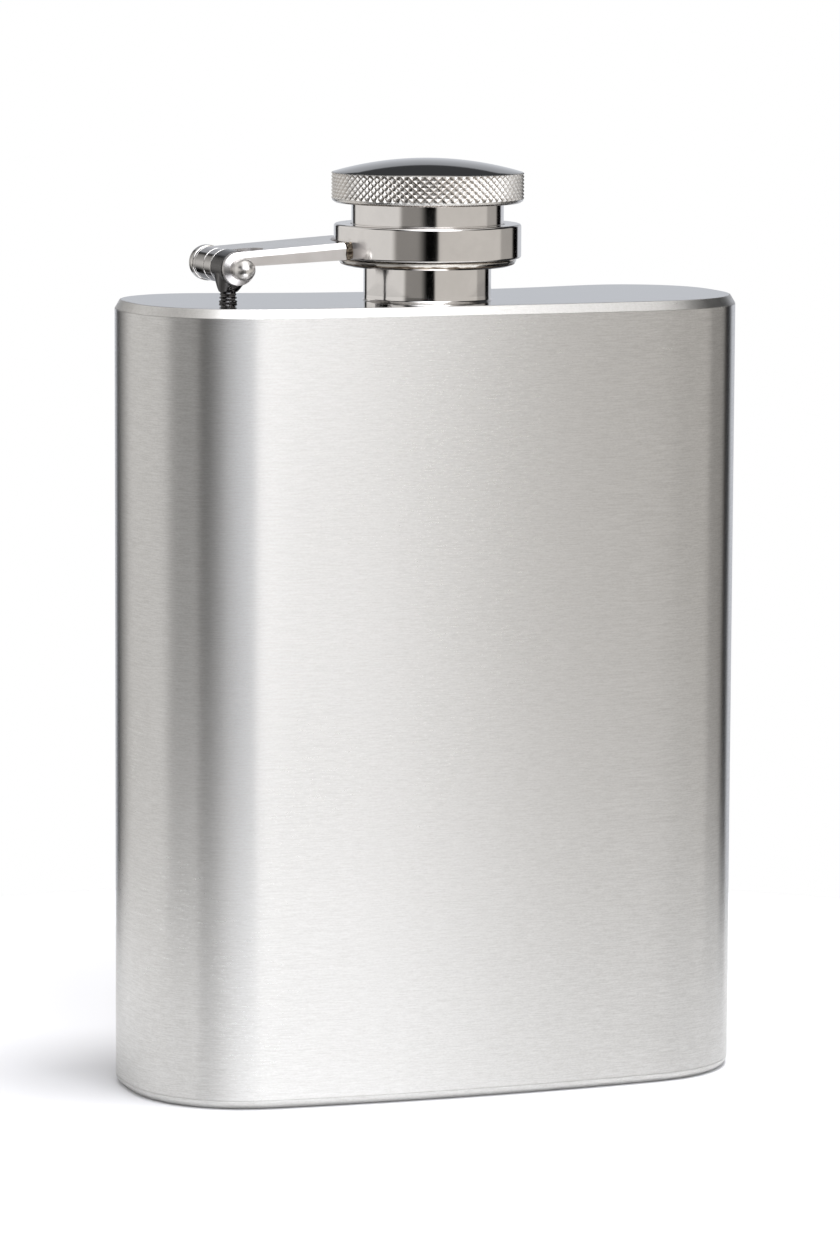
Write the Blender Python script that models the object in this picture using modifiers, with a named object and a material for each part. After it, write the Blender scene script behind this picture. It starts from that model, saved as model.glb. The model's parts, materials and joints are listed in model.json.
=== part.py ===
"""Pocket hip flask with a captive screw cap on a hinged arm.

Units are metres and +Z is up. The flask stands on z = 0, its convex front faces -Y,
and the hinge is on the -X side of the neck.
"""
import math

import bmesh
import bpy
from mathutils import Matrix, Vector

CLEARANCE = 0.0003                      # left between pieces that touch on the real flask

# Body: a curved, kidney-shaped can
BODY_WIDTH = 0.0700
BODY_HEIGHT = 0.0869
CENTRE_DEPTH = 0.0241                   # front to back, measured at the middle
FRONT_RADIUS = 0.2525                   # convex front
BACK_RADIUS = 0.0737                    # concave back
FRONT_CORNER = 0.0129                   # radius of each side towards the front
BACK_CORNER = 0.0097                    # radius of each side towards the back
SHEET = 0.0007
PLATE = 0.0010
TOP_INSET = 0.0005
BASE_INSET = 0.0006
BASE_ROUND = 0.00065

# Neck
NECK_X = -0.0017
NECK_Y = -0.0026
NECK_RADIUS = 0.00698
NECK_BORE = 0.0060
NECK_TOP = BODY_HEIGHT + 0.0083
NECK_FLANGE = 0.0084
NECK_FLANGE_THICKNESS = 0.0007
THREAD_PITCH = 0.0010
THREAD_TURNS = 2
THREAD_DEPTH = 0.00032
THREAD_TOP = NECK_TOP - 0.0004

# Collar at the end of the arm, with the retainer that closes it underneath
COLLAR_RADIUS = 0.01025
COLLAR_CHAMBER = 0.00945
COLLAR_BOTTOM = BODY_HEIGHT + 0.0046
COLLAR_TOP = BODY_HEIGHT + 0.0083
COLLAR_ROOF = 0.0007
COLLAR_EDGE = 0.00025
RETAINER_RADIUS = 0.00975
RETAINER_BORE = 0.0076
RETAINER_BOTTOM = BODY_HEIGHT + 0.0037

# Cap
SLEEVE_RADIUS = 0.00832
SLEEVE_BORE = 0.00755
SLEEVE_TOP = BODY_HEIGHT + 0.0135
FLANGE_RADIUS = COLLAR_CHAMBER - CLEARANCE
FLANGE_THICKNESS = 0.0006
GASKET_THICKNESS = 0.0012
HEAD_RADIUS = 0.01053
HEAD_BOTTOM = BODY_HEIGHT + 0.0106
KNURL_BOTTOM = HEAD_BOTTOM + 0.0004
KNURL_TOP = BODY_HEIGHT + 0.0138
KNURL_ROWS = 5
KNURL_DIAMONDS = 40
KNURL_DEPTH = 0.00025
HEAD_EDGE = BODY_HEIGHT + 0.0140
DOME_RISE = 0.0014

# Hinge: places along Y are from the middle of the post's eye
PIN_X = -0.0241
PIN_Y = -0.0025
PIN_Z = BODY_HEIGHT + 0.00385
PIN_RADIUS = 0.0008
PIN_BORE = PIN_RADIUS + CLEARANCE
EYE_RADIUS = 0.0019
EYE_WIDTH = 0.0034
KNUCKLE_RADIUS = 0.0018
CHEEK_WIDTH = 0.0008
ARM_FRONT = -(EYE_WIDTH / 2 + CLEARANCE + CHEEK_WIDTH)
ARM_BACK = 0.0082
PIN_HEAD_RADIUS = 0.00115
PIN_HEAD_LENGTH = 0.0024
PIN_TAIL_RADIUS = 0.0013
PIN_TAIL_THICKNESS = 0.0005
WASHER_RADIUS = 0.00195
WASHER_THICKNESS = 0.00095
WASHER_EDGE = 0.00015
STEM_X = -0.00035                       # the stem stands a little off the middle of the eye
STEM_Y = 0.0004
STEM_RADIUS = 0.00092
STEM_HOLE = STEM_RADIUS + CLEARANCE
STEM_TAIL_RADIUS = 0.0017               # of the head that holds the stem under the plate
STEM_TAIL_THICKNESS = 0.0008
FLARE_RADIUS = 0.0015                   # of the stem where it runs into the eye
FLARE_HEIGHT = 0.00145
FLARE_BOTTOM = 0.0027                   # below the pin's axis

# Arm: a flat strap that rises gently from the hinge to the collar
ARM_TOP_SLOPE = 0.0695
ARM_BOTTOM_SLOPE = 0.0450
ARM_BOTTOM = 0.0003                     # above the pin's axis, where the strap leaves the knuckle
ARM_CHAMFER = 0.00055
SLOT_END = 0.0035
BRAZE_INNER = COLLAR_RADIUS + CLEARANCE
BRAZE_OUTER = COLLAR_RADIUS + 0.0011
BRAZE_HEIGHT = 0.0022

ROUND_STEPS = 48
PLATE_HOLE_LENGTH = 0.004               # of the cutters
BORE_LENGTH = 0.03
SLOT_REACH = 0.004

NECK = Vector((NECK_X, NECK_Y, 0.0))
PIN = Vector((PIN_X, PIN_Y, PIN_Z))


# ---------------------------------------------------------------- scene helpers

def clear_scene():
    """Remove every object, and the meshes, curves and materials left behind."""
    for obj in list(bpy.data.objects):
        bpy.data.objects.remove(obj, do_unlink=True)
    for store in (bpy.data.meshes, bpy.data.curves, bpy.data.materials):
        for block in list(store):
            store.remove(block)


def make_collection(name):
    """A collection linked into the scene."""
    collection = bpy.data.collections.new(name)
    bpy.context.scene.collection.children.link(collection)
    return collection


def metal(name, colour, roughness, metallic=1.0):
    """A Principled BSDF material."""
    material = bpy.data.materials.new(name)
    material.use_nodes = True
    shader = material.node_tree.nodes["Principled BSDF"]
    shader.inputs["Base Color"].default_value = (*colour, 1.0)
    shader.inputs["Roughness"].default_value = roughness
    shader.inputs["Metallic"].default_value = metallic
    return material


def place(obj, material, parent=None, at=(0.0, 0.0, 0.0)):
    """Give an object its material and its parent, with its origin at the world point `at`."""
    obj.data.materials.clear()
    obj.data.materials.append(material)
    offset = Vector(at)
    if parent is not None:
        obj.parent = parent
        offset -= Vector(parent["world"])
    obj.location = offset
    return obj


def joint_empty(name, at, parent=None):
    """An empty on a joint's axis; it remembers its world position for its children."""
    empty = bpy.data.objects.new(name, None)
    empty.empty_display_size = 0.005
    empty["world"] = at
    flask.objects.link(empty)
    if parent is not None:
        empty.parent = parent
    empty.location = at - (Vector(parent["world"]) if parent is not None else Vector())
    return empty


def link_mesh(name, bm, collection):
    """Turn a bmesh into a linked object, with its faces turned outwards."""
    bmesh.ops.recalc_face_normals(bm, faces=bm.faces)
    mesh = bpy.data.meshes.new(name)
    bm.to_mesh(mesh)
    bm.free()
    obj = bpy.data.objects.new(name, mesh)
    collection.objects.link(obj)
    return obj


# ---------------------------------------------------------------- shape helpers

def arc(centre, radius, start, end, count):
    """Points along an arc, both ends included; angles are from +X."""
    step = (end - start) / (count - 1)
    return [(centre[0] + radius * math.cos(start + i * step),
             centre[1] + radius * math.sin(start + i * step)) for i in range(count)]


def body_outline(inset=0.0):
    """The body's kidney outline, anticlockwise from the middle of the front, with its box centred."""
    front = (0.0, -CENTRE_DEPTH / 2 + FRONT_RADIUS)
    back = (0.0, CENTRE_DEPTH / 2 + BACK_RADIUS)
    side_x = BODY_WIDTH / 2 - FRONT_CORNER
    side = (side_x, front[1] - math.sqrt((FRONT_RADIUS - FRONT_CORNER) ** 2 - side_x ** 2))
    rear_x = BODY_WIDTH / 2 - BACK_CORNER
    rear = (rear_x, back[1] - math.sqrt((BACK_RADIUS + BACK_CORNER) ** 2 - rear_x ** 2))
    turn_front = math.atan2(side[1] - front[1], side[0])
    turn_rear = math.atan2(back[1] - rear[1], -rear[0])
    turn_back = math.atan2(rear[1] - back[1], rear[0])
    half = arc(front, FRONT_RADIUS - inset, -math.pi / 2, turn_front, 13)
    half += arc(side, FRONT_CORNER - inset, turn_front, 0.0, 10)[1:]
    half += arc(rear, BACK_CORNER - inset, 0.0, turn_rear, 12)
    half += arc(back, BACK_RADIUS + inset, turn_back, -math.pi / 2, 10)[1:]
    middle = (rear[1] + BACK_CORNER - CENTRE_DEPTH / 2) / 2
    half = [(x, y - middle) for x, y in half]
    return half + [(-x, y) for x, y in reversed(half[1:-1])]


def add_loop(bm, points, z):
    """A closed loop of edges at one height."""
    verts = [bm.verts.new((x, y, z)) for x, y in points]
    return [bm.edges.new(pair) for pair in zip(verts, verts[1:] + verts[:1])]


def lofted(name, sections, collection, capped=True):
    """Bridge a stack of (points, z) loops and close its two ends, or leave them open."""
    bm = bmesh.new()
    loops = [add_loop(bm, points, z) for points, z in sections]
    for lower, upper in zip(loops, loops[1:]):
        bmesh.ops.bridge_loops(bm, edges=lower + upper)
    if capped:
        bmesh.ops.contextual_create(bm, geom=loops[0])
        bmesh.ops.contextual_create(bm, geom=loops[-1])
    return link_mesh(name, bm, collection)


def turned(name, profile, collection, ring=False, steps=ROUND_STEPS):
    """Screw a profile of (radius, z) points round Z; a ring's profile closes on itself."""
    mesh = bpy.data.meshes.new(name)
    edges = [(i, i + 1) for i in range(len(profile) - 1)]
    if ring:
        edges.append((len(profile) - 1, 0))
    mesh.from_pydata([(r, 0.0, z) for r, z in profile], edges, [])
    obj = bpy.data.objects.new(name, mesh)
    collection.objects.link(obj)
    screw = obj.modifiers.new("Screw", "SCREW")
    screw.axis = "Z"
    screw.steps = steps
    screw.render_steps = steps
    screw.use_merge_vertices = True
    screw.merge_threshold = 0.00001
    return obj


def disc(radius, sides, centre=(0.0, 0.0), squeeze=1.0):
    """The points of a circle, or of an ellipse when it is squeezed along X."""
    return [(centre[0] + squeeze * radius * math.cos(math.tau * i / sides),
             centre[1] + radius * math.sin(math.tau * i / sides)) for i in range(sides)]


def cut(obj, cutter, operation="DIFFERENCE"):
    """Apply an exact Boolean with another mesh, which stays hidden in the cutters' collection."""
    cutter.display_type = "WIRE"
    cutter.hide_render = True
    modifier = obj.modifiers.new(cutter.name, "BOOLEAN")
    modifier.operation = operation
    modifier.solver = "EXACT"
    modifier.object = cutter
    return obj


def bar_cutter(name, radius, length, at, axis="Z", sides=40):
    """A cylinder for cutting, centred at a world point and lying along Z or Y."""
    bm = bmesh.new()
    bmesh.ops.create_cone(bm, cap_ends=True, segments=sides, radius1=radius, radius2=radius, depth=length)
    obj = link_mesh(name, bm, cutters)
    obj.location = at
    if axis == "Y":
        obj.rotation_euler = (math.pi / 2, 0.0, 0.0)
    return obj


def block_cutter(name, low, high):
    """A box for cutting, between two world corners."""
    bm = bmesh.new()
    bmesh.ops.create_cube(bm, size=1.0)
    size = [b - a for a, b in zip(low, high)]
    bmesh.ops.scale(bm, vec=size, verts=bm.verts)
    obj = link_mesh(name, bm, cutters)
    obj.location = [(a + b) / 2 for a, b in zip(low, high)]
    return obj


def thread_ridges(top, crest, root, turns):
    """Profile points of a shallow thread's ridges, from the top down."""
    points = []
    for turn in range(turns):
        start = top - turn * THREAD_PITCH
        points += [(root, start), (crest, start - 0.35 * THREAD_PITCH),
                   (crest, start - 0.55 * THREAD_PITCH), (root, start - 0.9 * THREAD_PITCH)]
    return points


# ---------------------------------------------------------------- the can

def build_body_shell():
    """The wrapped wall of the can, open at both ends."""
    low = BASE_ROUND + 0.0003 + CLEARANCE
    high = BODY_HEIGHT - PLATE - CLEARANCE
    shell = lofted("body_shell", [(body_outline(), low), (body_outline(), high)], flask, capped=False)
    wall = shell.modifiers.new("Sheet", "SOLIDIFY")
    wall.thickness = SHEET
    wall.offset = -1.0
    wall.use_even_offset = True
    return place(shell, satin_steel)


def build_bottom_plate():
    """The flat base, rounded where it meets the table."""
    sections = [(body_outline(BASE_INSET), 0.0), (body_outline(BASE_INSET * 0.3), BASE_ROUND * 0.35),
                (body_outline(), BASE_ROUND), (body_outline(), BASE_ROUND + 0.0003)]
    return place(lofted("bottom_plate", sections, flask), satin_steel)


def build_top_plate():
    """The lid of the can, with its bevelled edge and the holes for the neck and the hinge post."""
    low = BODY_HEIGHT - PLATE
    sections = [(body_outline(), low), (body_outline(TOP_INSET * 0.25), low + PLATE * 0.35),
                (body_outline(TOP_INSET * 0.6), low + PLATE * 0.8), (body_outline(TOP_INSET), BODY_HEIGHT)]
    plate = lofted("top_plate", sections, flask)
    neck = (NECK_X, NECK_Y, BODY_HEIGHT)
    cut(plate, bar_cutter("neck_hole", NECK_RADIUS + CLEARANCE, PLATE_HOLE_LENGTH, neck, sides=64))
    stem = (PIN_X + STEM_X, PIN_Y + STEM_Y, BODY_HEIGHT)
    cut(plate, bar_cutter("stem_hole", STEM_HOLE, PLATE_HOLE_LENGTH, stem, sides=24))
    return place(plate, bright_steel)


def build_neck_tube():
    """The spout, with a flange under the plate and a shallow thread at its mouth."""
    flange_top = BODY_HEIGHT - PLATE - CLEARANCE
    flange_low = flange_top - NECK_FLANGE_THICKNESS
    root = NECK_RADIUS - THREAD_DEPTH
    profile = [(NECK_BORE + 0.0003, NECK_TOP), (root - 0.0001, NECK_TOP)]
    profile += thread_ridges(THREAD_TOP, NECK_RADIUS - 0.00003, root, THREAD_TURNS)
    profile += [(root, THREAD_TOP - (THREAD_TURNS + 0.2) * THREAD_PITCH),
                (NECK_RADIUS, THREAD_TOP - (THREAD_TURNS + 0.5) * THREAD_PITCH),
                (NECK_RADIUS, flange_top), (NECK_FLANGE, flange_top), (NECK_FLANGE, flange_low),
                (NECK_BORE, flange_low), (NECK_BORE, NECK_TOP - 0.0003)]
    return place(turned("neck_tube", profile, flask, ring=True), polished_steel, at=NECK)


# ---------------------------------------------------------------- the hinge

def build_hinge_post():
    """The ringed stem that stands on the plate, flared into the eye that the pin turns in."""
    tail_top = BODY_HEIGHT - PLATE - CLEARANCE
    foot = BODY_HEIGHT + CLEARANCE
    neck = PIN_Z - FLARE_BOTTOM
    stem = (STEM_X, STEM_Y)
    widths = [(STEM_TAIL_RADIUS, tail_top - STEM_TAIL_THICKNESS),
              (STEM_TAIL_RADIUS, tail_top - STEM_TAIL_THICKNESS / 4), (STEM_RADIUS, tail_top),
              (STEM_RADIUS, foot), (STEM_RADIUS * 1.2, foot + 0.0001), (STEM_RADIUS * 1.2, foot + 0.0003),
              (STEM_RADIUS * 0.9, foot + 0.0004), (STEM_RADIUS * 0.9, foot + 0.0006),
              (STEM_RADIUS * 1.08, foot + 0.0007), (STEM_RADIUS, neck)]
    sections = [(disc(radius, 24, stem), z - PIN_Z) for radius, z in widths]
    for part in (0.25, 0.5, 0.75, 1.0):
        centre = (STEM_X * (1 - part), STEM_Y * (1 - part))
        radius = STEM_RADIUS + (FLARE_RADIUS - STEM_RADIUS) * part ** 1.3
        sections.append((disc(radius, 24, centre, 1 - 0.17 * part), neck + FLARE_HEIGHT * part - PIN_Z))
    post = lofted("hinge_post", sections, flask)
    place(post, dark_steel, at=PIN)
    cut(post, bar_cutter("eye_body", EYE_RADIUS, EYE_WIDTH, PIN, "Y", 48), "UNION")
    cut(post, bar_cutter("eye_bore", PIN_BORE, BORE_LENGTH, PIN, "Y", 32))
    return post


def build_hinge_pin():
    """The rivet through the hinge, with a ball-nosed head at the front and a flat head behind."""
    nose = ARM_FRONT - CLEARANCE
    head = nose - (PIN_HEAD_LENGTH - PIN_HEAD_RADIUS)
    tail = ARM_BACK + WASHER_THICKNESS + 2 * CLEARANCE
    ball = [(PIN_HEAD_RADIUS * math.sin(a), -head + PIN_HEAD_RADIUS * math.cos(a))
            for a in (math.pi / 2 * i / 8 for i in range(9))]
    profile = ball + [(PIN_HEAD_RADIUS, -nose), (PIN_RADIUS, -nose), (PIN_RADIUS, -tail),
                      (PIN_TAIL_RADIUS, -tail), (PIN_TAIL_RADIUS * 0.92, -tail - PIN_TAIL_THICKNESS * 0.6),
                      (PIN_TAIL_RADIUS * 0.6, -tail - PIN_TAIL_THICKNESS * 0.9), (0.0, -tail - PIN_TAIL_THICKNESS)]
    pin = turned("hinge_pin", profile, flask, steps=32)
    place(pin, polished_steel, arm_pivot, PIN)
    pin.rotation_euler = (math.pi / 2, 0.0, 0.0)
    return pin


def build_pin_end_washer():
    """The washer that the pin's far end is riveted over."""
    near = ARM_BACK + CLEARANCE
    far = near + WASHER_THICKNESS
    profile = [(WASHER_RADIUS - WASHER_EDGE, -near), (WASHER_RADIUS, -near - WASHER_EDGE),
               (WASHER_RADIUS, -far + WASHER_EDGE), (WASHER_RADIUS - WASHER_EDGE, -far),
               (PIN_BORE, -far), (PIN_BORE, -near)]
    washer = turned("pin_end_washer", profile, flask, ring=True, steps=40)
    place(washer, bright_steel, arm_pivot, PIN)
    washer.rotation_euler = (math.pi / 2, 0.0, 0.0)
    return washer


def arm_outline():
    """The arm from the front: a strap that runs into a round knuckle at the pin."""
    reach = NECK_X - PIN_X - math.sqrt(BRAZE_OUTER ** 2 - (ARM_BACK * 1.1) ** 2)
    top_turn = math.pi / 2 + math.atan(ARM_TOP_SLOPE)
    low_turn = math.asin(ARM_BOTTOM / KNUCKLE_RADIUS)
    points = arc((0.0, 0.0), KNUCKLE_RADIUS, top_turn, math.tau + low_turn, 30)
    low_start, top_start = points[-1], points[0]
    points.append((reach, low_start[1] + ARM_BOTTOM_SLOPE * (reach - low_start[0])))
    points.append((reach, top_start[1] + ARM_TOP_SLOPE * (reach - top_start[0])))
    return points


def build_hinge_arm():
    """The strap, slotted for the post's eye, bored for the pin and cut to the collar's curve."""
    width = ARM_BACK - ARM_FRONT
    curve = bpy.data.curves.new("hinge_arm_outline", "CURVE")
    curve.dimensions = "2D"
    curve.fill_mode = "BOTH"
    curve.extrude = width / 2
    spline = curve.splines.new("POLY")
    points = arm_outline()
    spline.points.add(len(points) - 1)
    for point, (x, z) in zip(spline.points, points):
        point.co = (x, z, 0.0, 1.0)
    spline.use_cyclic_u = True
    source = bpy.data.objects.new("hinge_arm_outline", curve)
    cutters.objects.link(source)
    bpy.context.view_layer.update()
    mesh = bpy.data.meshes.new_from_object(source)
    bpy.data.objects.remove(source)
    bm = bmesh.new()
    bm.from_mesh(mesh)
    bpy.data.meshes.remove(mesh)
    bmesh.ops.remove_doubles(bm, verts=bm.verts, dist=0.000001)
    bmesh.ops.dissolve_limit(bm, angle_limit=0.01, verts=bm.verts, edges=bm.edges)
    stand = Matrix.Translation((0.0, (ARM_FRONT + ARM_BACK) / 2, 0.0)) @ Matrix.Rotation(math.pi / 2, 4, "X")
    bmesh.ops.transform(bm, matrix=stand, verts=bm.verts)
    top_edges = [edge for edge in bm.edges
                 if all(v.co.z > KNUCKLE_RADIUS * 0.5 and v.co.x > -0.0005 for v in edge.verts)
                 and (edge.verts[0].co - edge.verts[1].co).x ** 2 > 0.000001]
    bmesh.ops.bevel(bm, geom=top_edges, offset=ARM_CHAMFER, segments=1, affect="EDGES")
    arm = link_mesh("hinge_arm", bm, flask)
    place(arm, bright_steel, arm_pivot, PIN)
    half = EYE_WIDTH / 2 + CLEARANCE
    square_end = EYE_RADIUS + CLEARANCE
    cut(arm, block_cutter("slot", (PIN_X - SLOT_REACH, PIN_Y - half, PIN_Z - SLOT_REACH),
                          (PIN_X + square_end, PIN_Y + half, PIN_Z + SLOT_REACH)))
    bm = bmesh.new()
    bmesh.ops.create_cone(bm, cap_ends=True, segments=32, radius1=half, radius2=half, depth=2 * SLOT_REACH)
    bmesh.ops.scale(bm, vec=((SLOT_END - square_end) / half, 0.998, 1.0), verts=bm.verts)
    slot_end = link_mesh("slot_end", bm, cutters)
    slot_end.location = (PIN_X + square_end - 0.00005, PIN_Y, PIN_Z)
    cut(arm, slot_end)
    cut(arm, bar_cutter("arm_bore", PIN_BORE, BORE_LENGTH, PIN, "Y", 32))
    cut(arm, bar_cutter("arm_end", BRAZE_OUTER + CLEARANCE, BORE_LENGTH, (NECK_X, NECK_Y, PIN_Z), sides=96))
    return arm


def build_braze_joint():
    """The fillet of braze that joins the strap's end to the collar."""
    low = COLLAR_BOTTOM + 0.0001
    high = low + BRAZE_HEIGHT
    profile = [(BRAZE_INNER, high), (BRAZE_OUTER, high - 0.0002), (BRAZE_OUTER, low), (BRAZE_INNER, low)]
    braze = turned("braze_joint", profile, flask, ring=True, steps=96)
    place(braze, braze_metal, arm_pivot, NECK)
    keep = block_cutter("braze_keep", (NECK_X - 2 * BRAZE_OUTER, PIN_Y + ARM_FRONT - 0.0001, low - BRAZE_HEIGHT),
                        (NECK_X - BRAZE_OUTER / 4, PIN_Y + ARM_BACK, high + BRAZE_HEIGHT))
    return cut(braze, keep, "INTERSECT")


def build_collar():
    """The turned ring that carries the cap, hollow so that the sleeve's flange can rise in it."""
    profile = [(COLLAR_RADIUS - COLLAR_EDGE, COLLAR_TOP), (COLLAR_RADIUS, COLLAR_TOP - COLLAR_EDGE),
               (COLLAR_RADIUS, COLLAR_BOTTOM + COLLAR_EDGE), (COLLAR_RADIUS - COLLAR_EDGE, COLLAR_BOTTOM),
               (COLLAR_CHAMBER, COLLAR_BOTTOM), (COLLAR_CHAMBER, COLLAR_TOP - COLLAR_ROOF),
               (SLEEVE_RADIUS + CLEARANCE, COLLAR_TOP - COLLAR_ROOF), (SLEEVE_RADIUS + CLEARANCE, COLLAR_TOP)]
    return place(turned("collar", profile, flask, ring=True), polished_steel, arm_pivot, NECK)


def build_collar_retainer():
    """The ring under the collar that keeps the cap's flange in."""
    top = COLLAR_BOTTOM - CLEARANCE
    low = RETAINER_BOTTOM
    profile = [(RETAINER_RADIUS - 0.0001, top), (RETAINER_RADIUS, top - 0.0001), (RETAINER_RADIUS, low + 0.0003),
               (RETAINER_RADIUS - 0.0003, low), (RETAINER_BORE, low), (RETAINER_BORE, top)]
    return place(turned("collar_retainer", profile, flask, ring=True), polished_steel, arm_pivot, NECK)


# ---------------------------------------------------------------- the cap

def build_cap_sleeve():
    """The threaded sleeve of the cap, with the flange that rides inside the collar."""
    flange_low = COLLAR_BOTTOM
    flange_top = flange_low + FLANGE_THICKNESS
    web = NECK_TOP + GASKET_THICKNESS + 2 * CLEARANCE
    crest = SLEEVE_BORE - 0.0001
    ridges = thread_ridges(THREAD_TOP + 0.0002, crest, crest + THREAD_DEPTH, THREAD_TURNS)
    profile = [(0.0, SLEEVE_TOP), (SLEEVE_RADIUS, SLEEVE_TOP), (SLEEVE_RADIUS, flange_top),
               (FLANGE_RADIUS, flange_top), (FLANGE_RADIUS, flange_low), (SLEEVE_BORE, flange_low)]
    profile += list(reversed(ridges)) + [(SLEEVE_BORE, NECK_TOP + 0.0001), (SLEEVE_BORE, web), (0.0, web)]
    return place(turned("cap_sleeve", profile, flask), polished_steel, cap_spindle, NECK)


def build_cap_gasket():
    """The soft disc that seals on the neck's rim."""
    low = NECK_TOP + CLEARANCE
    radius = SLEEVE_BORE - CLEARANCE
    profile = [(0.0, low + GASKET_THICKNESS), (radius, low + GASKET_THICKNESS), (radius, low), (0.0, low)]
    return place(turned("cap_gasket", profile, flask), silicone, cap_spindle, NECK)


def build_cap_head():
    """The domed grip, with a diamond knurl made by pressing in every other point of its band."""
    bore = SLEEVE_RADIUS + CLEARANCE
    bore_top = SLEEVE_TOP + CLEARANCE
    dome_edge = HEAD_RADIUS - 0.0004
    dome_radius = (dome_edge ** 2 + DOME_RISE ** 2) / (2 * DOME_RISE)
    spread = math.asin(dome_edge / dome_radius)
    dome = [(dome_radius * math.sin(spread * i / 6),
             HEAD_EDGE + DOME_RISE - dome_radius * (1 - math.cos(spread * i / 6))) for i in range(7)]
    row = (KNURL_TOP - KNURL_BOTTOM) / KNURL_ROWS
    band = [(HEAD_RADIUS, KNURL_TOP - i * row) for i in range(KNURL_ROWS + 1)]
    foot = [(HEAD_RADIUS - 0.0003, HEAD_BOTTOM), (bore, HEAD_BOTTOM), (bore, bore_top), (0.0, bore_top)]
    head = turned("cap_head_blank", dome + band + foot, cutters, steps=2 * KNURL_DIAMONDS)
    bpy.context.view_layer.update()
    mesh = bpy.data.meshes.new_from_object(head.evaluated_get(bpy.context.evaluated_depsgraph_get()))
    bpy.data.objects.remove(head)
    bm = bmesh.new()
    bm.from_mesh(mesh)
    bpy.data.meshes.remove(mesh)
    for vert in bm.verts:
        line = round((KNURL_TOP - vert.co.z) / row)
        column = round(math.atan2(vert.co.y, vert.co.x) / math.tau * 2 * KNURL_DIAMONDS)
        on_band = vert.co.xy.length > HEAD_RADIUS - 0.00001 and 0 < line < KNURL_ROWS
        if on_band and (line + column) % 2:
            vert.co.xy *= 1 - KNURL_DEPTH / HEAD_RADIUS
    return place(link_mesh("cap_head", bm, flask), bright_steel, cap_spindle, NECK)


clear_scene()
flask = make_collection("hip_flask")
cutters = make_collection("cutters")
cutters.hide_render = True

satin_steel = metal("satin_steel", (0.72, 0.71, 0.69), 0.34)
bright_steel = metal("bright_steel", (0.80, 0.79, 0.77), 0.20)
polished_steel = metal("polished_steel", (0.78, 0.76, 0.73), 0.10)
dark_steel = metal("dark_steel", (0.34, 0.33, 0.33), 0.22)
braze_metal = metal("braze", (0.36, 0.27, 0.19), 0.45)
silicone = metal("silicone", (0.86, 0.86, 0.84), 0.60, metallic=0.0)

arm_pivot = joint_empty("arm_pivot", PIN)
cap_spindle = joint_empty("cap_spindle", NECK, arm_pivot)

build_body_shell()
build_bottom_plate()
build_top_plate()
build_neck_tube()
build_hinge_post()
build_hinge_pin()
build_pin_end_washer()
build_hinge_arm()
build_braze_joint()
build_collar()
build_collar_retainer()
build_cap_sleeve()
build_cap_gasket()
build_cap_head()
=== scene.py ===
"""Looks for the hip flask: detailed meshes, procedural metals, a small studio and the camera.

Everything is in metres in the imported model's frame: +Z up, and the convex front faces -Y.
"""

import json
import math

import bmesh
import bpy
from mathutils import Matrix, Vector


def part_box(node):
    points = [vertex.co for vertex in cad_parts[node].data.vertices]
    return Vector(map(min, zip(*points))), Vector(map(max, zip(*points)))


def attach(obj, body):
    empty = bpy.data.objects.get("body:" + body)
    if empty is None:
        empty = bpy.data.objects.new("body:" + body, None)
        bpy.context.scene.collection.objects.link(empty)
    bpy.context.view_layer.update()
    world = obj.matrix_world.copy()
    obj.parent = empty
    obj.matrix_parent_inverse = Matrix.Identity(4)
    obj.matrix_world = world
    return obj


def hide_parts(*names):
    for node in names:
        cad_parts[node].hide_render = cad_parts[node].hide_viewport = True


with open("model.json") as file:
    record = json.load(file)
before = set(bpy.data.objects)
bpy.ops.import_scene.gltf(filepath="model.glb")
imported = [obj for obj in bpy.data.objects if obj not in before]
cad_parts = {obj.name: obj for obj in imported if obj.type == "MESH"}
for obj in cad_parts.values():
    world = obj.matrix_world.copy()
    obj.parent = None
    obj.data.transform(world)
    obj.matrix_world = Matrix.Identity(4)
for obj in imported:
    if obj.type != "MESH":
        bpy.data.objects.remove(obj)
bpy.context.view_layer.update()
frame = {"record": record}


# ---------------------------------------------------------------- sizes, from the frame

def node_box(name):
    """A node's low and high corners."""
    low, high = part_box(name)
    return Vector(low), Vector(high)


def half_width(name):
    """The radius of a round upright node."""
    low, high = node_box(name)
    return (high.x - low.x) / 2


wall_low, wall_high = node_box("body_shell")
lid_low, lid_high = node_box("top_plate")
neck_low, neck_high = node_box("neck_tube")
collar_low, collar_high = node_box("collar")
retainer_low = node_box("collar_retainer")[0]
sleeve_low = node_box("cap_sleeve")[0]
head_low, head_high = node_box("cap_head")
gasket_low, gasket_high = node_box("cap_gasket")
post_low = node_box("hinge_post")[0]
arm_low, arm_high = node_box("hinge_arm")
pin_low, pin_high = node_box("hinge_pin")
washer_high = node_box("pin_end_washer")[1]

JOINTS = {joint["name"]: joint for joint in frame["record"]["behaviour"]["joints"]}
PIN = Vector(JOINTS["arm_swing"]["pos_m"])
NECK = Vector(JOINTS["cap_turn"]["pos_m"]) * Vector((1, 1, 0))
TOP = lid_high.z

# The can's outline and edges
WIDTH = wall_high.x - wall_low.x
CENTRE_DEPTH = 0.0241
FRONT_RADIUS = 0.2525
BACK_RADIUS = 0.0737
FRONT_CORNER = 0.0129
BACK_CORNER = 0.0097
SHEET = 0.0007
BASE_INSET = 0.0011
BASE_ROUND = 0.0010
TOP_INSET = 0.0006
SEAM = 0.00001
ROLLED_EDGE = 0.00003
EASE = 0.0018                 # how far the bends' curvature is blurred along the outline
OUTLINE_STEPS = 440

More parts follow.
